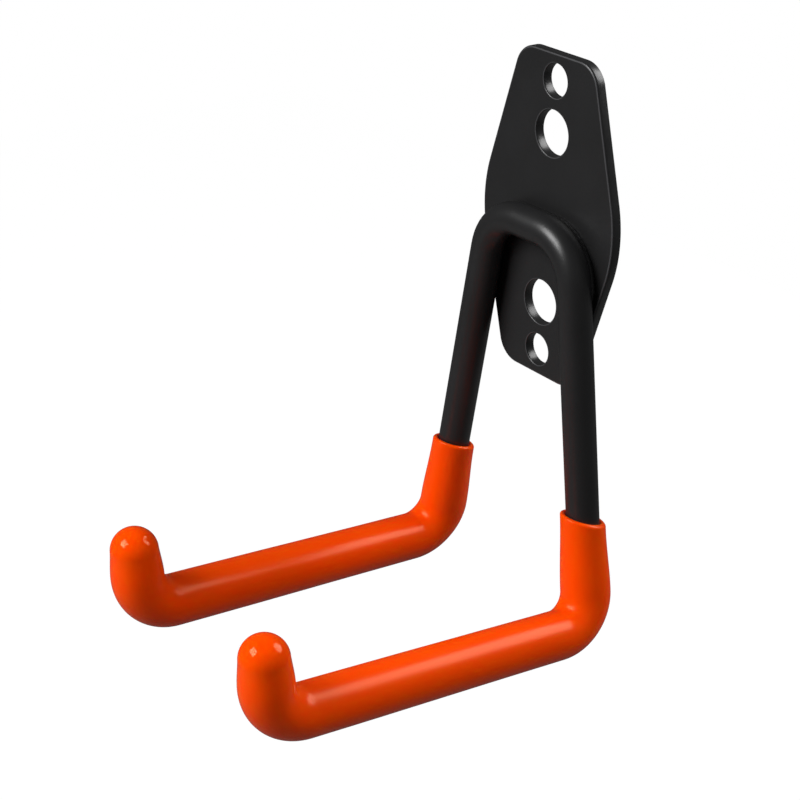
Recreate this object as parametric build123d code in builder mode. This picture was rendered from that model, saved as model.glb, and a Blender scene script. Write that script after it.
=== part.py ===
from build123d import *
from math import cos, radians, sin, sqrt
import os

os.makedirs("parts", exist_ok=True)

# Garage utility hook, in millimetres.
# The plate stands in the XZ plane with its back, the side against the wall, on Y = 0.
# The origin is the middle of the plate's back, +Z is up and the arms reach towards -Y.

# Mounting plate: widths and height are those of the hexagon before its corners are rounded
plate_height = 78.8
plate_end_width = 24.9
plate_belly_width = 48.3
plate_thickness = 2.5
end_corner_radius = 6.5
belly_corner_radius = 33.0
front_edge_round = 0.5

# Screw holes, two sizes, placed alike from the plate's upper and lower end
small_hole_diameter = 7.9
small_hole_from_end = 6.3
large_hole_diameter = 11.0
large_hole_from_small_hole = 12.3

# Bent bar: half widths, heights and depths are those of the corners of its centreline
bar_diameter = 8.0
top_height = -0.6
top_half_width = 13.9
top_bend_radius = 11.8
elbow_half_width = 29.2
elbow_height = -95.0
elbow_bend_radius = 8.9
tip_half_width = 27.4
tip_depth = 97.4
tip_height = -87.2
tip_bend_radius = 10.6
tip_rise = 16.1
tip_lean = 1.3
bar_end_past_dome_centre = 2.0
bar_end_chamfer = 0.8

# Dipped coat: its walls are measured from the bar's surface, and its mouth lies in the plane of the
# dip, which rises towards the front; it is drawn past the mouth by the trim and cut off there
coat_length_on_leg = 28.6
coat_trim = 4.0
dip_slope = 16.0
coat_wall_at_trim = 1.3
coat_wall_at_elbow = 2.1
coat_wall_at_tip_bend = 2.4
coat_wall_at_end = 1.8
mouth_outer_round = 0.8
mouth_inner_bevel = 0.5

# Weld in the corner between the bar and the plate, over the top of the U
weld_reach_on_plate = 2.7
weld_height_on_bar = 0.9
weld_root_gap = 0.2
weld_hollow = 0.1
weld_length_down_leg = 14.0

# The bar lies with its round side against the plate's front
bar_radius = bar_diameter / 2
bar_depth = plate_thickness + bar_radius

# Corners of the right half of the bar's centreline, and the directions up its leg and its tip
top_corner = Vector(top_half_width, -bar_depth, top_height)
elbow_corner = Vector(elbow_half_width, -bar_depth, elbow_height)
tip_corner = Vector(tip_half_width, -tip_depth, tip_height)
dome_centre = Vector(tip_half_width, -tip_depth - tip_lean, tip_height + tip_rise)
up_the_leg = (top_corner - elbow_corner).normalized()
up_the_tip = (dome_centre - tip_corner).normalized()

# The dip's upward direction: the hook leant forwards while its arms were in the liquid
dip_up = Vector(0, sin(radians(dip_slope)), cos(radians(dip_slope)))


def on_the_left(point):
    return Vector(-point.X, point.Y, point.Z)


# Flat steel plate with its four holes; the press has rolled over its front edges
with BuildPart() as mounting_plate:
    with BuildSketch(Plane.XZ):
        with BuildLine():
            Polyline(
                (plate_end_width / 2, plate_height / 2),
                (-plate_end_width / 2, plate_height / 2),
                (-plate_belly_width / 2, 0),
                (-plate_end_width / 2, -plate_height / 2),
                (plate_end_width / 2, -plate_height / 2),
                (plate_belly_width / 2, 0),
                close=True,
            )
        make_face()
        corners = vertices().group_by(Axis.Y)
        fillet(corners[0] + corners[-1], end_corner_radius)
        sides = vertices().group_by(Axis.X)
        fillet(sides[0] + sides[-1], belly_corner_radius)
        small_hole_height = plate_height / 2 - small_hole_from_end
        large_hole_height = small_hole_height - large_hole_from_small_hole
        with Locations((0, small_hole_height), (0, -small_hole_height)):
            Circle(small_hole_diameter / 2, mode=Mode.SUBTRACT)
        with Locations((0, large_hole_height), (0, -large_hole_height)):
            Circle(large_hole_diameter / 2, mode=Mode.SUBTRACT)
    extrude(amount=plate_thickness)
    fillet(faces().sort_by(Axis.Y)[0].edges(), front_edge_round)

# One round bar, bent at the top of the U, at both elbows and at both tips
with BuildPart() as hook_rod:
    bar_end = dome_centre + up_the_tip * bar_end_past_dome_centre
    right_half = [bar_end, tip_corner, elbow_corner, top_corner]
    left_half = [on_the_left(point) for point in reversed(right_half)]
    bends = [tip_bend_radius, elbow_bend_radius, top_bend_radius]
    with BuildLine() as bar_line:
        FilletPolyline(*right_half, *left_half, radius=bends + bends[::-1])
    with BuildSketch(Plane(bar_end, z_dir=-up_the_tip)):
        Circle(bar_radius)
    sweep(path=bar_line.wire())
    for end in (bar_end, on_the_left(bar_end)):
        chamfer(faces().sort_by_distance(end)[0].edges(), bar_end_chamfer)

# Right coat: cones along the straight stretches, bends of even thickness and a round end
with BuildPart() as right_coat:
    mouth_centre = elbow_corner + up_the_leg * coat_length_on_leg
    with BuildLine() as coat_line:
        FilletPolyline(
            mouth_centre + up_the_leg * coat_trim,
            elbow_corner,
            tip_corner,
            dome_centre,
            radius=(elbow_bend_radius, tip_bend_radius),
        )
    leg, elbow_bend, arm, tip_bend, tip = coat_line.edges().sort_by(coat_line.wire())
    for stretch, first_wall, last_wall in (
        (leg, coat_wall_at_trim, coat_wall_at_elbow),
        (arm, coat_wall_at_elbow, coat_wall_at_tip_bend),
        (tip, coat_wall_at_tip_bend, coat_wall_at_end),
    ):
        with BuildSketch(Plane(stretch @ 0, z_dir=stretch % 0)):
            Circle(bar_radius + first_wall)
        with BuildSketch(Plane(stretch @ 1, z_dir=stretch % 1)):
            Circle(bar_radius + last_wall)
        loft(ruled=True)
    for stretch, wall in ((elbow_bend, coat_wall_at_elbow), (tip_bend, coat_wall_at_tip_bend)):
        with BuildSketch(Plane(stretch @ 0, z_dir=stretch % 0)):
            Circle(bar_radius + wall)
        sweep(path=stretch)
    with Locations(dome_centre):
        Sphere(bar_radius + coat_wall_at_end)
    split(bisect_by=Plane(mouth_centre, z_dir=dip_up), keep=Keep.BOTTOM)
    add(hook_rod.part, mode=Mode.SUBTRACT)
    for place, finish, size in ((-1, fillet, mouth_outer_round), (0, chamfer, mouth_inner_bevel)):
        mouth = faces().filter_by(GeomType.PLANE).sort_by_distance(mouth_centre)[0]
        finish(mouth.edges().sort_by(SortBy.LENGTH)[place], size)

# Left coat: the same, the other way round
with BuildPart() as left_coat:
    mirror(right_coat.part, about=Plane.YZ)

# Weld bead, drawn across the bar: X runs away from the middle of the U, Y away from the plate
with BuildPart() as weld_bead:
    weld_end = top_corner - up_the_leg * weld_length_down_leg
    with BuildLine() as weld_line:
        FilletPolyline(
            weld_end,
            top_corner,
            on_the_left(top_corner),
            on_the_left(weld_end),
            radius=top_bend_radius,
        )
    across_bar = Plane(weld_end, x_dir=(up_the_leg.Z, 0, -up_the_leg.X), z_dir=-up_the_leg)
    with BuildSketch(across_bar):
        root_height = weld_root_gap - bar_radius
        root_reach = sqrt(bar_radius**2 - root_height**2)
        bar_toe_height = weld_height_on_bar - bar_radius
        bar_toe_reach = sqrt(bar_radius**2 - bar_toe_height**2)
        with BuildLine():
            Polyline(
                (root_reach, root_height),
                (root_reach, -bar_radius),
                (weld_reach_on_plate, -bar_radius),
            )
            SagittaArc(
                (weld_reach_on_plate, -bar_radius), (bar_toe_reach, bar_toe_height), weld_hollow
            )
            RadiusArc((bar_toe_reach, bar_toe_height), (root_reach, root_height), bar_radius)
        make_face()
    sweep(path=weld_line.wire())

for name, piece in (
    ("mounting_plate", mounting_plate),
    ("hook_rod", hook_rod),
    ("right_coat", right_coat),
    ("left_coat", left_coat),
    ("weld_bead", weld_bead),
):
    piece.part.label = name
    export_step(piece.part, f"parts/{name}.step")
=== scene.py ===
import bmesh
import bpy
from math import cos, pi, radians, sin, tan
from mathutils import Matrix, Vector
from mathutils.geometry import tessellate_polygon


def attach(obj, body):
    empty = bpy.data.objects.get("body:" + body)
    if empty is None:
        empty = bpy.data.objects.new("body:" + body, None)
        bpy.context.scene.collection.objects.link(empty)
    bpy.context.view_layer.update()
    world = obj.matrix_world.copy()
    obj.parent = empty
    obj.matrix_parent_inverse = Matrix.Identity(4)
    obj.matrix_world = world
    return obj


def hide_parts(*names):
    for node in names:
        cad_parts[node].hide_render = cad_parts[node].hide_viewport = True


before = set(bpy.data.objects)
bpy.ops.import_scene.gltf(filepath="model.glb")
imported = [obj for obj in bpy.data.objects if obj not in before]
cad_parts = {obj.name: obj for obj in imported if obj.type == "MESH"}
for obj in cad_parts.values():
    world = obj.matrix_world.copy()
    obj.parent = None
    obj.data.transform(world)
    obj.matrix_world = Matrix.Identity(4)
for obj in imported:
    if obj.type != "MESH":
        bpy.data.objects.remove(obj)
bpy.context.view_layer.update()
mm = 0.001
print("frame loaded:", ", ".join(sorted(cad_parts)))


# Adds a node: inputs are values or the sockets that feed them, settings are its own properties
def addNode(tree, kind, inputs=None, **settings):
    node = tree.nodes.new(kind)
    for name, value in settings.items():
        setattr(node, name, value)
    for key, value in (inputs or {}).items():
        if isinstance(value, bpy.types.NodeSocket):
            tree.links.new(value, node.inputs[key])
        else:
            node.inputs[key].default_value = value
    return node


# Gives a Geometry Nodes tree its named inputs, each with a kind of socket and a value, and its output
def addSockets(tree, inputs, output):
    for name, (kind, value) in inputs.items():
        socket = tree.interface.new_socket(name, in_out="INPUT", socket_type=kind)
        if value is not None:
            socket.default_value = value
    tree.interface.new_socket(output, in_out="OUTPUT", socket_type="NodeSocketGeometry")
    return addNode(tree, "NodeGroupInput").outputs


# The nodes that end each Geometry Nodes tree
def finishTree(tree, geometry, material):
    smooth = addNode(tree, "GeometryNodeSetShadeSmooth", {"Geometry": geometry})
    realized = addNode(tree, "GeometryNodeRealizeInstances", {"Geometry": smooth.outputs[0]})
    painted = addNode(tree, "GeometryNodeSetMaterial", {
        "Geometry": realized.outputs[0], "Material": material,
    })
    addNode(tree, "NodeGroupOutput", {0: painted.outputs[0]})


# sRGB hex to the linear colour that the nodes use
def linear(hexColour):
    channels = [int(hexColour[start:start + 2], 16) / 255 for start in (1, 3, 5)]
    return [
        value / 12.92 if value <= 0.04045 else ((value + 0.055) / 1.055) ** 2.4
        for value in channels
    ] + [1.0]


def newMaterial(name):
    material = bpy.data.materials.new(name)
    material.use_nodes = True
    material.node_tree.nodes.clear()
    return material, material.node_tree


# Nearly all values of a noise texture lie in this range
noiseRange = (0.3, 0.7)

# Black polyester powder, sprayed on and baked: a satin skin that has flowed into a faint orange
# peel about a millimetre across, deep black with a soft sheen
powderCoat = {
    "colour": "#1c1c1c",
    "thinColour": "#212122",
    "roughness": 0.33,
    "roughnessSpread": 0.03,
    "specular": 0.5,
    "refraction": 1.5,
    "peelSize": 1.1 * mm,
    "peelDepth": 0.012 * mm,
    "cloudSize": 14 * mm,
    # painted highlight: a lighter grey laid along the plate's rolled front edges, where light catches them
    "paintedHighlightColour": "#3f3f41",
}


def satinBlackPowderCoatOnSteel(name):
    material, tree = newMaterial(name)
    place = addNode(tree, "ShaderNodeTexCoord").outputs["Object"]
    cloud = addNode(tree, "ShaderNodeTexNoise", {
        "Vector": place, "Scale": 1 / powderCoat["cloudSize"], "Detail": 3.0, "Roughness": 0.5,
    }).outputs["Fac"]
    peel = addNode(tree, "ShaderNodeTexNoise", {
        "Vector": place, "Scale": 1 / powderCoat["peelSize"], "Detail": 1.5, "Roughness": 0.4,
    }).outputs["Fac"]
    colour = addNode(tree, "ShaderNodeMix", {
        "Factor": cloud, "A": linear(powderCoat["colour"]), "B": linear(powderCoat["thinColour"]),
    }, data_type="RGBA")
    # the painted highlight: the plate's rolled front edges are coloured lighter where light catches them
    paintedHighlight = addNode(tree, "ShaderNodeAttribute", attribute_name="paintedHighlight").outputs["Fac"]
    withPaintedHighlight = addNode(tree, "ShaderNodeMix", {
        "Factor": paintedHighlight, "A": colour.outputs[2], "B": linear(powderCoat["paintedHighlightColour"]),
    }, data_type="RGBA")
    rough = addNode(tree, "ShaderNodeMapRange", {
        "Value": cloud, "From Min": noiseRange[0], "From Max": noiseRange[1],
        "To Min": powderCoat["roughness"] - powderCoat["roughnessSpread"],
        "To Max": powderCoat["roughness"] + powderCoat["roughnessSpread"],
    })
    bump = addNode(tree, "ShaderNodeBump", {
        "Height": peel, "Distance": powderCoat["peelDepth"], "Strength": 1.0,
    })
    shader = addNode(tree, "ShaderNodeBsdfPrincipled", {
        "Base Color": withPaintedHighlight.outputs[2], "Roughness": rough.outputs[0], "Normal": bump.outputs[0],
        "IOR": powderCoat["refraction"], "Specular IOR Level": powderCoat["specular"],
    })
    addNode(tree, "ShaderNodeOutputMaterial", {"Surface": shader.outputs[0]})
    return material


# Plastisol, a soft PVC that the hot bar is dipped in: smooth, with no mould line, only the slow
# waves of a skin that ran while it was wet; satin along the arms, and glossy at the tips, where the
# last of it gathered. Light runs through it and comes out deep red, and its sheen is warm
softDip = {
    "colour": "#ff4e00",
    "deepColour": "#f84600",
    "roughness": 0.262,  # above 0.27 or so the denoiser drew a faint ring at each tip
    "tipRoughness": 0.10,
    "roughnessSpread": 0.01,
    "specular": 0.28,
    "refraction": 1.52,
    "sheenColour": "#ffd29f",
    "glowShare": 0.5,
    "glowDepth": 3.0 * mm,
    "glowReach": (1.0, 0.15, 0.03),
    "waveSize": 9 * mm,
    "waveDepth": 0.02 * mm,
    "cloudSize": 20 * mm,
}


def dippedSoftPvc(name):
    material, tree = newMaterial(name)
    place = addNode(tree, "ShaderNodeTexCoord").outputs["Object"]
    cloud = addNode(tree, "ShaderNodeTexNoise", {
        "Vector": place, "Scale": 1 / softDip["cloudSize"], "Detail": 2.0, "Roughness": 0.5,
    }).outputs["Fac"]
    wave = addNode(tree, "ShaderNodeTexNoise", {
        "Vector": place, "Scale": 1 / softDip["waveSize"], "Detail": 1.0, "Roughness": 0.4,
    }).outputs["Fac"]
    colour = addNode(tree, "ShaderNodeMix", {
        "Factor": cloud, "A": linear(softDip["colour"]), "B": linear(softDip["deepColour"]),
    }, data_type="RGBA")
    tip = addNode(tree, "ShaderNodeAttribute", attribute_name="tipShare").outputs["Fac"]
    base = addNode(tree, "ShaderNodeMapRange", {
        "Value": tip, "To Min": softDip["roughness"], "To Max": softDip["tipRoughness"],
    }).outputs[0]
    uneven = addNode(tree, "ShaderNodeMapRange", {
        "Value": cloud, "From Min": noiseRange[0], "From Max": noiseRange[1],
        "To Min": -softDip["roughnessSpread"], "To Max": softDip["roughnessSpread"],
    }).outputs[0]
    rough = addNode(tree, "ShaderNodeMath", {0: base, 1: uneven}, operation="ADD")
    bump = addNode(tree, "ShaderNodeBump", {
        "Height": wave, "Distance": softDip["waveDepth"], "Strength": 1.0,
    })
    shader = addNode(tree, "ShaderNodeBsdfPrincipled", {
        "Base Color": colour.outputs[2], "Roughness": rough.outputs[0], "Normal": bump.outputs[0],
        "IOR": softDip["refraction"], "Specular IOR Level": softDip["specular"],
        "Specular Tint": linear(softDip["sheenColour"]),
        "Subsurface Weight": softDip["glowShare"], "Subsurface Scale": softDip["glowDepth"],
        "Subsurface Radius": softDip["glowReach"],
    })
    addNode(tree, "ShaderNodeOutputMaterial", {"Surface": shader.outputs[0]})
    return material


blackCoat = satinBlackPowderCoatOnSteel("satin_black_powder_coat_on_steel")
orangeCoat = dippedSoftPvc("dipped_soft_pvc_orange")
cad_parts["hook_rod"].material_slots[0].material = blackCoat
print("black powder coat on the bar")

# Mounting plate: the solid's own outline and holes; the press has rolled the front edges over,
# round the holes too, and a thin pale line of painted highlight, lighter paint, runs along them
plate = {
    "height": 78.8 * mm,
    "endWidth": 24.9 * mm,
    "bellyWidth": 48.3 * mm,
    "thickness": 2.5 * mm,
    "endCornerRadius": 6.5 * mm,
    "bellyCornerRadius": 33.0 * mm,
    "smallHole": {"radius": 3.95 * mm, "fromMiddle": 33.1 * mm},
    "largeHole": {"radius": 5.5 * mm, "fromMiddle": 20.8 * mm},
    "frontRoll": 0.55 * mm,
    "backRoll": 0.12 * mm,
    "holeRoll": 0.35 * mm,
    "rollSteps": 8,
    "backSteps": 2,
    "paintedHighlightFrom": 8,  # degrees round the roll, from the front face
    "paintedHighlightTo": 40,
    "cornerSteps": 24,
    "holeSteps": 96,
}


# A closed outline of points with their outward directions; each corner is given with its radius
def roundedOutline(corners):
    outline = []
    for i, (x, y, radius) in enumerate(corners):
        corner = Vector((x, y))
        before = (Vector(corners[i - 1][:2]) - corner).normalized()
        after = (Vector(corners[(i + 1) % len(corners)][:2]) - corner).normalized()
        half = before.angle(after) / 2
        middle = corner + (before + after).normalized() * radius / sin(half)
        first = (corner + before * radius / tan(half) - middle).normalized()
        for step in range(plate["cornerSteps"] + 1):
            angle = (pi - 2 * half) * step / plate["cornerSteps"]
            outward = Vector((
                first.x * cos(angle) - first.y * sin(angle),
                first.x * sin(angle) + first.y * cos(angle),
            ))
            outline.append((middle + outward * radius, outward))
    return outline


# A hole's outline runs the other way round, and away from the metal is towards its middle
def holeOutline(radius, height):
    outline = []
    for step in range(plate["holeSteps"]):
        angle = -2 * pi * step / plate["holeSteps"]
        spoke = Vector((cos(angle), sin(angle)))
        outline.append((Vector((0, height)) + spoke * radius, -spoke))
    return outline


# How far in and how deep each ring of an edge lies, and whether it carries the painted highlight, from
# front to back
def edgeRings(roll):
    rings = []
    for step in range(plate["rollSteps"] + 1):
        angle = pi / 2 * step / plate["rollSteps"]
        highlighted = plate["paintedHighlightFrom"] <= 90 * step / plate["rollSteps"] <= plate["paintedHighlightTo"]
        inset, depth = roll * (1 - sin(angle)), -plate["thickness"] + roll * (1 - cos(angle))
        rings.append((inset, depth, float(highlighted)))
    for step in range(plate["backSteps"] + 1):
        angle = pi / 2 / plate["backSteps"] * step
        rings.append((plate["backRoll"] * (1 - cos(angle)), -plate["backRoll"] * (1 - sin(angle)), 0.0))
    return rings


def platePiece():
    end, top, belly = plate["endWidth"] / 2, plate["height"] / 2, plate["bellyWidth"] / 2
    small, large = plate["endCornerRadius"], plate["bellyCornerRadius"]
    edges = [(roundedOutline([
        (end, top, small), (-end, top, small), (-belly, 0, large),
        (-end, -top, small), (end, -top, small), (belly, 0, large),
    ]), plate["frontRoll"])]
    for hole in (plate["smallHole"], plate["largeHole"]):
        for way in (1, -1):
            edges.append((holeOutline(hole["radius"], way * hole["fromMiddle"]), plate["holeRoll"]))
    points, paintedHighlightMarks, faces = [], [], []
    frontRings, backRings = [], []
    for outline, roll in edges:
        rings = edgeRings(roll)
        start, count = len(points), len(outline)
        for inset, depth, highlighted in rings:
            points += [(x - out.x * inset, depth, y - out.y * inset) for (x, y), out in outline]
            paintedHighlightMarks += [highlighted] * count
        for ring in range(len(rings) - 1):
            for i in range(count):
                here, there = start + ring * count + i, start + ring * count + (i + 1) % count
                faces.append((here, there, there + count, here + count))
        frontRings.append(list(range(start, start + count)))
        backRings.append(list(range(start + (len(rings) - 1) * count, start + len(rings) * count)))
    rolled = len(faces)
    for rings in (frontRings, backRings):
        order = [point for ring in rings for point in ring]
        loops = [[Vector(points[point]) for point in ring] for ring in rings]
        for triangle in tessellate_polygon(loops):
            faces.append([order[corner] for corner in triangle])
    mesh = bpy.data.meshes.new("rolled_edge_plate")
    mesh.from_pydata(points, [], faces)
    mesh.polygons.foreach_set("use_smooth", [True] * len(faces))
    # the painted highlight, marked on the points of the rolled front edges
    highlighted = mesh.attributes.new("paintedHighlight", "FLOAT", "POINT")
    highlighted.data.foreach_set("value", paintedHighlightMarks)
    # the flat faces stay flat, and all faces point outwards
    shaped = bmesh.new()
    shaped.from_mesh(mesh)
    bmesh.ops.recalc_face_normals(shaped, faces=shaped.faces)
    shaped.faces.ensure_lookup_table()
    for edge in shaped.edges:
        flats = [face.index >= rolled for face in edge.link_faces]
        edge.smooth = all(flats) or not any(flats)
    shaped.to_mesh(mesh)
    shaped.free()
    piece = bpy.data.objects.new("rolled_edge_plate", mesh)
    bpy.context.scene.collection.objects.link(piece)
    mesh.materials.append(blackCoat)
    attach(piece, "root")
    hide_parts("mounting_plate")
    print("plate made:", len(faces), "faces")


platePiece()

# The bar's centreline, right half: the corners before they are rounded, in the frame's axes
bar = {
    "radius": 4.0 * mm,
    "topCorner": Vector((13.9, -6.5, -0.6)) * mm,
    "elbowCorner": Vector((29.2, -6.5, -95.0)) * mm,
    "tipCorner": Vector((27.4, -97.4, -87.2)) * mm,
    "domeCentre": Vector((27.4, -98.7, -71.1)) * mm,
    "endPastDomeCentre": 2.0 * mm,
    "elbowBendRadius": 8.9 * mm,
    "tipBendRadius": 10.6 * mm,
}

# The dipped coat: walls are measured from the bar's surface, and its mouth lies in the plane of the
# dip, which rises towards the front; the section starts higher up the leg, by the trim
coat = {
    "lengthOnLeg": 28.6 * mm,
    "trim": 4.0 * mm,
    "dipSlope": radians(16.0),
    "wallAtTrim": 1.3 * mm,
    "wallAtElbow": 2.1 * mm,
    "wallAtTipBend": 2.33 * mm,
    "wallAtEnd": 1.73 * mm,
    "outerRound": 0.8 * mm,
    "innerBevel": 0.5 * mm,
    "ringsPerStretch": 48,
    "pointsAround": 96,
    "bendSteps": 40,
    "mergeDistance": 0.001 * mm,
    "sagDepth": 0.06 * mm,
    "sagLength": 16 * mm,
    "arcHandle": 0.5523,  # a Bezier handle this share of the radius long makes a quarter circle
}


# A curve object from Bezier points, each given with its two handles
def bezierCurve(name, points):
    data = bpy.data.curves.new(name, "CURVE")
    data.dimensions = "3D"
    data.resolution_u = coat["ringsPerStretch"]
    spline = data.splines.new("BEZIER")
    spline.bezier_points.add(len(points) - 1)
    for made, (left, middle, right) in zip(spline.bezier_points, points):
        made.handle_left_type = made.handle_right_type = "FREE"
        made.handle_left, made.co, made.handle_right = [
            Vector((*place, 0.0)) for place in (left, middle, right)
        ]
    curve = bpy.data.objects.new(name, data)
    bpy.context.scene.collection.objects.link(curve)
    return curve


def spineCurve(name, points):
    data = bpy.data.curves.new(name, "CURVE")
    data.dimensions = "3D"
    spline = data.splines.new("POLY")
    spline.points.add(len(points) - 1)
    for made, point in zip(spline.points, points):
        made.co = (*point, 1.0)
    curve = bpy.data.objects.new(name, data)
    bpy.context.scene.collection.objects.link(curve)
    return curve


# How long a corner's arc is, and how much of each straight it takes
def bendLengths(before, corner, after, radius):
    turn = (corner - before).angle(after - corner)
    return radius * turn, radius * tan(turn / 2)


# Half section of the coat: x runs along the bar from the trim above the mouth, y out from its middle
def coatSection():
    upLeg = (bar["topCorner"] - bar["elbowCorner"]).normalized()
    elbow, tip, dome = bar["elbowCorner"], bar["tipCorner"], bar["domeCentre"]
    start = elbow + upLeg * (coat["lengthOnLeg"] + coat["trim"])
    elbowArc, elbowTake = bendLengths(start, elbow, tip, bar["elbowBendRadius"])
    tipArc, tipTake = bendLengths(elbow, tip, dome, bar["tipBendRadius"])
    lengths = [
        coat["lengthOnLeg"] + coat["trim"] - elbowTake,
        elbowArc,
        (tip - elbow).length - elbowTake - tipTake,
        tipArc,
        (dome - tip).length - tipTake,
    ]
    stations = [sum(lengths[:count]) for count in range(1, 6)]
    lip, bevel, inner, handle = coat["outerRound"], coat["innerBevel"], bar["radius"], coat["arcHandle"]
    mouth = coat["trim"]
    thickening = (coat["wallAtElbow"] - coat["wallAtTrim"]) * mouth / stations[0]
    mouthRadius = inner + coat["wallAtTrim"] + thickening
    atElbow, atTipBend, atEnd = [
        inner + coat[wall] for wall in ("wallAtElbow", "wallAtTipBend", "wallAtEnd")
    ]
    barEnd = stations[-1] + bar["endPastDomeCentre"]
    corners = [(barEnd, 0.0), (barEnd, inner), (mouth + bevel, inner), (mouth, inner + bevel)]
    points = [(corner, corner, corner) for corner in corners]
    lipStart = (mouth, mouthRadius - lip)
    points.append((lipStart, lipStart, (mouth, mouthRadius - lip + handle * lip)))
    steps = [mouth + lip] + stations
    walls = [mouthRadius, atElbow, atElbow, atTipBend, atTipBend, atEnd]
    for place, (step, radius) in enumerate(zip(steps, walls)):
        back = (step - steps[place - 1]) / 3 if place else handle * lip
        ahead = (steps[place + 1] - step) / 3 if place + 1 < len(steps) else handle * radius
        swell = (walls[place - 1] - radius) / 3 if place + 1 == len(steps) else 0.0
        points.append(((step - back, radius + swell), (step, radius), (step + ahead, radius)))
    pole, last = steps[-1] + walls[-1], walls[-1]
    points.append(((pole, handle * last), (pole, 0.0), (pole, 0.0)))
    return bezierCurve("coatSection", points), start, stations


# Geometry Nodes: wraps the half section round the bar's bent line and lets the skin sag a little
def dippedCoatTree(material, stations):
    tree = bpy.data.node_groups.new("dippedCoat", "GeometryNodeTree")
    given = addSockets(tree, {
        "Spine": ("NodeSocketGeometry", None),
        "Section": ("NodeSocketObject", None),
        "Elbow bend radius": ("NodeSocketFloat", bar["elbowBendRadius"]),
        "Tip bend radius": ("NodeSocketFloat", bar["tipBendRadius"]),
        "Dip upwards": ("NodeSocketVector", (0.0, sin(coat["dipSlope"]), cos(coat["dipSlope"]))),
        "Mouth place": ("NodeSocketFloat", coat["trim"] + coat["outerRound"]),
        "Leg end": ("NodeSocketFloat", stations[0]),
        "Gloss start": ("NodeSocketFloat", stations[2]),
        "Gloss end": ("NodeSocketFloat", stations[4]),
        "Points around": ("NodeSocketInt", coat["pointsAround"]),
        "Sag depth": ("NodeSocketFloat", coat["sagDepth"]),
        "Sag length": ("NodeSocketFloat", coat["sagLength"]),
    }, "Coat")

    # the bar's line with its two bends
    index = addNode(tree, "GeometryNodeInputIndex").outputs[0]
    isElbow = addNode(tree, "FunctionNodeCompare", {2: index, 3: 1}, data_type="INT", operation="EQUAL")
    bendRadius = addNode(tree, "GeometryNodeSwitch", {
        "Switch": isElbow.outputs[0],
        "False": given["Tip bend radius"], "True": given["Elbow bend radius"],
    }, input_type="FLOAT")
    spine = addNode(tree, "GeometryNodeFilletCurve", {
        "Curve": given["Spine"], "Count": coat["bendSteps"], "Radius": bendRadius.outputs[0],
    }, mode="POLY")

    # one row of the grid for each point of the section, one column for each step round the bar
    section = addNode(tree, "GeometryNodeObjectInfo", {"Object": given["Section"]})
    rows = addNode(tree, "GeometryNodeResampleCurve", {
        "Curve": section.outputs["Geometry"],
    }, mode="EVALUATED")
    rowCount = addNode(tree, "GeometryNodeAttributeDomainSize", {
        "Geometry": rows.outputs[0],
    }, component="CURVE").outputs["Point Count"]
    columns = addNode(tree, "ShaderNodeMath", {0: given["Points around"], 1: 1.0}, operation="ADD")
    grid = addNode(tree, "GeometryNodeMeshGrid", {
        "Size X": 1.0, "Size Y": 1.0, "Vertices X": rowCount, "Vertices Y": columns.outputs[0],
    })
    place = addNode(tree, "GeometryNodeInputPosition").outputs[0]
    flat = addNode(tree, "ShaderNodeSeparateXYZ", {0: place}).outputs
    lastRow = addNode(tree, "ShaderNodeMath", {0: rowCount, 1: 1.0}, operation="SUBTRACT").outputs[0]
    along = addNode(tree, "ShaderNodeMath", {0: flat[0], 1: 0.5}, operation="ADD").outputs[0]
    row = addNode(tree, "ShaderNodeMath", {0: along, 1: lastRow}, operation="MULTIPLY").outputs[0]
    nearestRow = addNode(tree, "ShaderNodeMath", {0: row}, operation="ROUND").outputs[0]
    turned = addNode(tree, "ShaderNodeMath", {0: flat[1], 1: 0.5}, operation="ADD").outputs[0]
    angle = addNode(tree, "ShaderNodeMath", {0: turned, 1: 2 * pi}, operation="MULTIPLY").outputs[0]
    sectionPoint = addNode(tree, "GeometryNodeSampleIndex", {
        "Geometry": rows.outputs[0], "Value": place, "Index": nearestRow,
    }, data_type="FLOAT_VECTOR", domain="POINT").outputs[0]
    length, reach, _ = addNode(tree, "ShaderNodeSeparateXYZ", {0: sectionPoint}).outputs

    # from the straight section to the bent line
    onSpine = addNode(tree, "GeometryNodeSampleCurve", {
        "Curves": spine.outputs[0], "Length": length,
    }, mode="LENGTH")
    side = addNode(tree, "ShaderNodeVectorMath", {
        0: onSpine.outputs["Normal"], 1: onSpine.outputs["Tangent"],
    }, operation="CROSS_PRODUCT").outputs[0]
    cosine = addNode(tree, "ShaderNodeMath", {0: angle}, operation="COSINE").outputs[0]
    sine = addNode(tree, "ShaderNodeMath", {0: angle}, operation="SINE").outputs[0]
    alongNormal = addNode(tree, "ShaderNodeVectorMath", {
        0: onSpine.outputs["Normal"], "Scale": cosine,
    }, operation="SCALE")
    alongSide = addNode(tree, "ShaderNodeVectorMath", {0: side, "Scale": sine}, operation="SCALE")
    outward = addNode(tree, "ShaderNodeVectorMath", {
        0: alongNormal.outputs[0], 1: alongSide.outputs[0],
    }, operation="ADD")
    offset = addNode(tree, "ShaderNodeVectorMath", {
        0: outward.outputs[0], "Scale": reach,
    }, operation="SCALE")
    wrapped = addNode(tree, "ShaderNodeVectorMath", {
        0: onSpine.outputs["Position"], 1: offset.outputs[0],
    }, operation="ADD").outputs[0]

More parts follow.
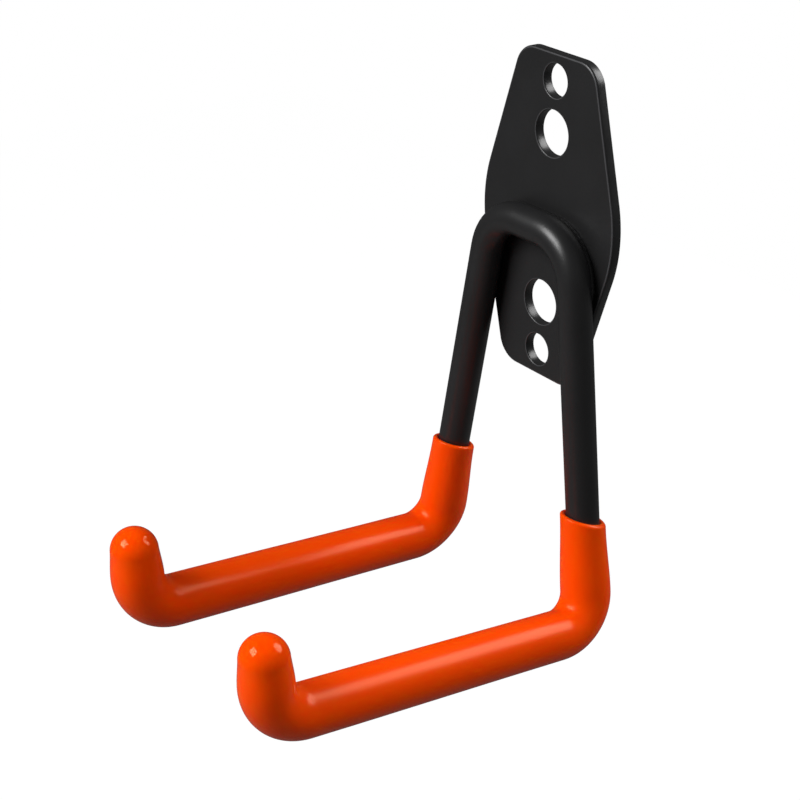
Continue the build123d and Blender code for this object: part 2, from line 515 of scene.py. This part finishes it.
    # the mouth slid along the leg into the plane of the dip, less and less towards the elbow
    rise = addNode(tree, "ShaderNodeVectorMath", {
        0: given["Dip upwards"], 1: offset.outputs[0],
    }, operation="DOT_PRODUCT").outputs["Value"]
    slide = addNode(tree, "ShaderNodeVectorMath", {
        0: given["Dip upwards"], 1: onSpine.outputs["Tangent"],
    }, operation="DOT_PRODUCT").outputs["Value"]
    share = addNode(tree, "ShaderNodeMapRange", {
        "Value": length, "From Min": given["Mouth place"], "From Max": given["Leg end"],
        "To Min": -1.0, "To Max": 0.0,
    }).outputs[0]
    perSlide = addNode(tree, "ShaderNodeMath", {0: rise, 1: slide}, operation="DIVIDE").outputs[0]
    slid = addNode(tree, "ShaderNodeMath", {0: perSlide, 1: share}, operation="MULTIPLY").outputs[0]
    alongLeg = addNode(tree, "ShaderNodeVectorMath", {
        0: onSpine.outputs["Tangent"], "Scale": slid,
    }, operation="SCALE").outputs[0]
    sloped = addNode(tree, "ShaderNodeVectorMath", {0: wrapped, 1: alongLeg}, operation="ADD").outputs[0]

    # how far each point belongs to the tip, for the gloss
    tipShare = addNode(tree, "ShaderNodeMapRange", {
        "Value": length, "From Min": given["Gloss start"], "From Max": given["Gloss end"],
    }, interpolation_type="SMOOTHSTEP").outputs[0]
    marked = addNode(tree, "GeometryNodeStoreNamedAttribute", {
        "Geometry": grid.outputs["Mesh"], "Name": "tipShare", "Value": tipShare,
    }, data_type="FLOAT", domain="POINT")
    shell = addNode(tree, "GeometryNodeSetPosition", {"Geometry": marked.outputs[0], "Position": sloped})
    closed = addNode(tree, "GeometryNodeMergeByDistance", {
        "Geometry": shell.outputs[0], "Distance": coat["mergeDistance"],
    })

    # the wet skin's slow thick and thin
    scale = addNode(tree, "ShaderNodeMath", {
        0: 1.0, 1: given["Sag length"],
    }, operation="DIVIDE").outputs[0]
    noise = addNode(tree, "ShaderNodeTexNoise", {
        "Vector": place, "Scale": scale, "Detail": 1.0,
    }).outputs["Fac"]
    thinner = addNode(tree, "ShaderNodeMath", {0: noise, 1: 1.0}, operation="SUBTRACT").outputs[0]
    sag = addNode(tree, "ShaderNodeMath", {
        0: thinner, 1: given["Sag depth"],
    }, operation="MULTIPLY").outputs[0]
    normal = addNode(tree, "GeometryNodeInputNormal").outputs[0]
    inward = addNode(tree, "ShaderNodeVectorMath", {0: normal, "Scale": sag}, operation="SCALE").outputs[0]
    skin = addNode(tree, "GeometryNodeSetPosition", {"Geometry": closed.outputs[0], "Offset": inward})
    finishTree(tree, skin.outputs[0], material)
    return tree


# Runs a tree on an object and gives back the plain mesh that comes out
def meshFromTree(source, tree, values, name):
    modifier = source.modifiers.new("nodes", "NODES")
    modifier.node_group = tree
    for socket in tree.interface.items_tree:
        if socket.in_out == "INPUT" and socket.name in values:
            modifier[socket.identifier] = values[socket.name]
    evaluated = source.evaluated_get(bpy.context.evaluated_depsgraph_get())
    mesh = bpy.data.meshes.new_from_object(evaluated)
    mesh.name = name
    piece = bpy.data.objects.new(name, mesh)
    bpy.context.scene.collection.objects.link(piece)
    source.modifiers.clear()
    bpy.data.objects.remove(source)
    return piece


section, coatStart, stations = coatSection()
tree = dippedCoatTree(orangeCoat, stations)
domeDirection = (bar["domeCentre"] - bar["tipCorner"]).normalized()
pole = bar["domeCentre"] + domeDirection * (bar["radius"] + coat["wallAtEnd"])
for side, node in ((1, "right_coat"), (-1, "left_coat")):
    corners = [coatStart, bar["elbowCorner"], bar["tipCorner"], pole]
    spine = spineCurve(node + "_spine", [Vector((side * x, y, z)) for x, y, z in corners])
    piece = meshFromTree(spine, tree, {"Section": section}, node + "_skin")
    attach(piece, "root")
    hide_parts(node)
    print("dipped coat made:", piece.name, len(piece.data.polygons), "faces")
bpy.data.objects.remove(section)

# Weld: one small bead over the top of the U, in the corner between bar and plate, laid down in
# overlapping ripples that the powder coat softens; it thins out at both ends
weld = {
    "radius": 0.75 * mm,
    "fromBarMiddle": 1.95 * mm,
    "aboveBarMiddle": -3.55 * mm,
    "lengthDownLeg": 14.0 * mm,
    "topBendRadius": 11.8 * mm,
    "ripplePitch": 1.4 * mm,
    "rippleShare": 0.10,
    "unevenShare": 0.18,
    "unevenLength": 3.5 * mm,
    "endTaper": 2.5 * mm,
    "endShare": 0.35,
    "ringStep": 0.14 * mm,
    "bendSteps": 24,
    "pointsAround": 20,
    "seed": 3.0,
}


# Geometry Nodes: a round string of metal along the U, swelling at each ripple, flat on the plate
def weldBeadTree(material):
    tree = bpy.data.node_groups.new("weldBead", "GeometryNodeTree")
    given = addSockets(tree, {
        "Path": ("NodeSocketGeometry", None),
        "Bead radius": ("NodeSocketFloat", weld["radius"]),
        "Bend radius": ("NodeSocketFloat", weld["topBendRadius"] + weld["fromBarMiddle"]),
        "Ripple pitch": ("NodeSocketFloat", weld["ripplePitch"]),
        "Ripple share": ("NodeSocketFloat", weld["rippleShare"]),
        "Uneven share": ("NodeSocketFloat", weld["unevenShare"]),
        "Uneven length": ("NodeSocketFloat", weld["unevenLength"]),
        "End taper": ("NodeSocketFloat", weld["endTaper"]),
        "Plate front": ("NodeSocketFloat", -plate["thickness"]),
        "Seed": ("NodeSocketFloat", weld["seed"]),
    }, "Bead")
    bent = addNode(tree, "GeometryNodeFilletCurve", {
        "Curve": given["Path"], "Count": weld["bendSteps"], "Radius": given["Bend radius"],
    }, mode="POLY")
    line = addNode(tree, "GeometryNodeResampleCurve", {
        "Curve": bent.outputs[0], "Length": weld["ringStep"],
    }, mode="LENGTH")

    # how thick the bead is at each place: ripples, a slow unevenness and thin ends
    along = addNode(tree, "GeometryNodeSplineParameter").outputs["Length"]
    total = addNode(tree, "GeometryNodeSplineLength").outputs["Length"]
    turns = addNode(tree, "ShaderNodeMath", {
        0: along, 1: given["Ripple pitch"],
    }, operation="DIVIDE").outputs[0]
    angle = addNode(tree, "ShaderNodeMath", {0: turns, 1: pi}, operation="MULTIPLY").outputs[0]
    sine = addNode(tree, "ShaderNodeMath", {0: angle}, operation="SINE").outputs[0]
    ripple = addNode(tree, "ShaderNodeMath", {0: sine}, operation="ABSOLUTE").outputs[0]
    swell = addNode(tree, "ShaderNodeMath", {
        0: ripple, 1: given["Ripple share"], 2: 1.0,
    }, operation="MULTIPLY_ADD").outputs[0]
    scale = addNode(tree, "ShaderNodeMath", {
        0: 1.0, 1: given["Uneven length"],
    }, operation="DIVIDE").outputs[0]
    place = addNode(tree, "GeometryNodeInputPosition").outputs[0]
    noise = addNode(tree, "ShaderNodeTexNoise", {
        "Vector": place, "W": given["Seed"], "Scale": scale, "Detail": 1.0,
    }, noise_dimensions="4D").outputs["Fac"]
    thinner = addNode(tree, "ShaderNodeMath", {
        0: noise, 1: given["Uneven share"],
    }, operation="MULTIPLY").outputs[0]
    uneven = addNode(tree, "ShaderNodeMath", {0: swell, 1: thinner}, operation="SUBTRACT").outputs[0]
    left = addNode(tree, "ShaderNodeMath", {0: total, 1: along}, operation="SUBTRACT").outputs[0]
    nearest = addNode(tree, "ShaderNodeMath", {0: along, 1: left}, operation="MINIMUM").outputs[0]
    taper = addNode(tree, "ShaderNodeMapRange", {
        "Value": nearest, "From Max": given["End taper"], "To Min": weld["endShare"],
    }, interpolation_type="SMOOTHERSTEP").outputs[0]
    thickness = addNode(tree, "ShaderNodeMath", {0: uneven, 1: taper}, operation="MULTIPLY").outputs[0]
    ring = addNode(tree, "GeometryNodeCurvePrimitiveCircle", {
        "Resolution": weld["pointsAround"], "Radius": given["Bead radius"],
    })
    bead = addNode(tree, "GeometryNodeCurveToMesh", {
        "Curve": line.outputs[0], "Profile Curve": ring.outputs[0],
        "Scale": thickness, "Fill Caps": True,
    })

    # nothing of it reaches into the plate
    x, y, z = addNode(tree, "ShaderNodeSeparateXYZ", {0: place}).outputs
    clear = addNode(tree, "ShaderNodeMath", {
        0: y, 1: given["Plate front"],
    }, operation="MINIMUM").outputs[0]
    seated = addNode(tree, "ShaderNodeCombineXYZ", {0: x, 1: clear, 2: z}).outputs[0]
    laid = addNode(tree, "GeometryNodeSetPosition", {"Geometry": bead.outputs[0], "Position": seated})
    finishTree(tree, laid.outputs[0], material)
    return tree


# The bead's line: the corners of the bar's line, moved out and towards the plate
def weldLine():
    upLeg = (bar["topCorner"] - bar["elbowCorner"]).normalized()
    fromLeg, fromTop = Vector((upLeg.z, 0.0, -upLeg.x)), Vector((0.0, 0.0, 1.0))
    towardsPlate = Vector((0.0, -weld["aboveBarMiddle"], 0.0))
    corner = bar["topCorner"] + towardsPlate
    corner += (fromLeg + fromTop) * weld["fromBarMiddle"] / (1 + fromLeg.dot(fromTop))
    end = bar["topCorner"] + towardsPlate - upLeg * weld["lengthDownLeg"]
    end += fromLeg * weld["fromBarMiddle"]
    return [end, corner, Vector((-corner.x, corner.y, corner.z)), Vector((-end.x, end.y, end.z))]


beadLine = spineCurve("weldLine", weldLine())
bead = meshFromTree(beadLine, weldBeadTree(blackCoat), {}, "rippled_weld_bead")
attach(bead, "root")
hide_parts("weld_bead")
print("weld bead made:", len(bead.data.polygons), "faces")

# Camera: the photograph's angles in degrees, its focal length in pixels, how far off the middle of
# the plate's back is along the line of sight, and at which pixel of the frame it lies
camera = {
    "azimuth": 52.15,
    "elevation": 25.34,
    "roll": 2.0,
    "focal": 1838.33,
    "depth": 430.58 * mm,
    "originPixel": (553.67, 217.45),
    "frameSize": 800,
    "sensor": 36.0,
    "clip": (0.01, 50),
}


def photoCamera():
    azimuth, elevation, roll = [radians(camera[key]) for key in ("azimuth", "elevation", "roll")]
    back = Vector((sin(azimuth) * cos(elevation), -cos(azimuth) * cos(elevation), sin(elevation)))
    level = (-back).cross(Vector((0, 0, 1))).normalized()
    plumb = level.cross(-back)
    right = level * cos(roll) + plumb * sin(roll)
    up = plumb * cos(roll) - level * sin(roll)
    half = camera["frameSize"] / 2
    across = (camera["originPixel"][0] - half) / camera["focal"]
    down = (camera["originPixel"][1] - half) / camera["focal"]
    data = bpy.data.cameras.new("photoCamera")
    data.sensor_width = camera["sensor"]
    data.lens = camera["focal"] / camera["frameSize"] * camera["sensor"]
    data.clip_start, data.clip_end = camera["clip"]
    made = bpy.data.objects.new("photoCamera", data)
    bpy.context.scene.collection.objects.link(made)
    turn = Matrix((right, up, back)).transposed().to_4x4()
    place = (back - right * across + up * down) * camera["depth"]
    made.matrix_world = Matrix.Translation(place) @ turn
    bpy.context.scene.camera = made
    return right, up, back


right, up, back = photoCamera()

# Studio: each soft box or sheet by its direction (right, up, towards the camera), metres and watts
studio = {
    "aim": Vector((0, -0.05, -0.03)),
    "distance": 1.0,
    "boxes": {
        "leftBox": {
            "from": (-0.70, 0.46, 0.54), "size": (0.58, 0.42),
            "shape": "RECTANGLE", "power": 9.6,
        },
        "rightBox": {
            "from": (0.785, 0.615, 0.03), "size": (0.64, 0.64),
            "shape": "ELLIPSE", "power": 7.2,
        },
        "sideSheet": {
            "from": (-0.95, 0.05, 0.30), "size": (1.0, 1.0),
            "shape": "RECTANGLE", "power": 6.0,
        },
        "frontSheet": {
            "from": (0.55, 0.10, 0.83), "size": (1.0, 1.0),
            "shape": "RECTANGLE", "power": 2.6,
        },
    },
    "fillLevel": 0.045,
    "mirroredLevel": 0.05,
    "backgroundColour": "#ffffff",
    "floorColour": "#6a6a6a",
    "floorGlow": 1.24,
    "floorGlowShare": 0.8,
    "floorHeight": -0.42,
    "floorSize": 1.7,
    "floorMiddle": (-0.50, 0.0),
}


def softBox(name, sizes):
    toward = (right * sizes["from"][0] + up * sizes["from"][1] + back * sizes["from"][2]).normalized()
    data = bpy.data.lights.new(name, "AREA")
    data.shape = sizes["shape"]
    data.size, data.size_y = sizes["size"]
    data.energy = sizes["power"]
    lamp = bpy.data.objects.new(name, data)
    bpy.context.scene.collection.objects.link(lamp)
    lamp.location = studio["aim"] + toward * studio["distance"]
    lamp.rotation_euler = toward.to_track_quat("Z", "Y").to_euler()
    lamp.visible_glossy = not name.endswith("Sheet")  # only the boxes are mirrored in the part


for name, sizes in studio["boxes"].items():
    softBox(name, sizes)


# White all round to the camera; what the part mirrors is a dim room, and the rest is a faint fill
def studioWorld():
    world = bpy.data.worlds.new("studioWorld")
    bpy.context.scene.world = world
    world.use_nodes = True
    tree = world.node_tree
    tree.nodes.clear()
    rays = addNode(tree, "ShaderNodeLightPath").outputs
    unseen = addNode(tree, "ShaderNodeMix", {
        "Factor": rays["Is Glossy Ray"], "A": studio["fillLevel"], "B": studio["mirroredLevel"],
    }, data_type="FLOAT").outputs[0]
    clear = addNode(tree, "ShaderNodeMath", {
        0: rays["Is Camera Ray"], 1: rays["Is Transmission Ray"],
    }, operation="MAXIMUM").outputs[0]
    level = addNode(tree, "ShaderNodeMix", {
        "Factor": clear, "A": unseen, "B": 1.0,
    }, data_type="FLOAT").outputs[0]
    light = addNode(tree, "ShaderNodeBackground", {
        "Color": linear(studio["backgroundColour"]), "Strength": level,
    })
    addNode(tree, "ShaderNodeOutputWorld", {"Surface": light.outputs[0]})


# A matt floor well below the wall-hung part: its glow makes it white to the camera, and its own
# grey under that keeps the part's faint shadow
def studioFloor():
    half = studio["floorSize"] / 2
    mesh = bpy.data.meshes.new("studioFloor")
    x, y = studio["floorMiddle"]
    corners = [(x - half, y - half), (x + half, y - half), (x + half, y + half), (x - half, y + half)]
    mesh.from_pydata([(*corner, studio["floorHeight"]) for corner in corners], [], [(0, 1, 2, 3)])
    floor = bpy.data.objects.new("studioFloor", mesh)
    bpy.context.scene.collection.objects.link(floor)
    material, tree = newMaterial("pale_studio_floor")
    rays = addNode(tree, "ShaderNodeLightPath").outputs
    matt = addNode(tree, "ShaderNodeBsdfDiffuse", {"Color": linear(studio["floorColour"])})
    white = addNode(tree, "ShaderNodeEmission", {
        "Color": linear(studio["backgroundColour"]), "Strength": studio["floorGlow"],
    })
    share = addNode(tree, "ShaderNodeMath", {
        0: rays["Is Camera Ray"], 1: studio["floorGlowShare"],
    }, operation="MULTIPLY")
    mixed = addNode(tree, "ShaderNodeMixShader", {
        0: share.outputs[0], 1: matt.outputs[0], 2: white.outputs[0],
    })
    addNode(tree, "ShaderNodeOutputMaterial", {"Surface": mixed.outputs[0]})
    mesh.materials.append(material)


studioWorld()
studioFloor()
bpy.context.scene.view_settings.view_transform = "Standard"
print("camera, soft boxes, world and floor made")
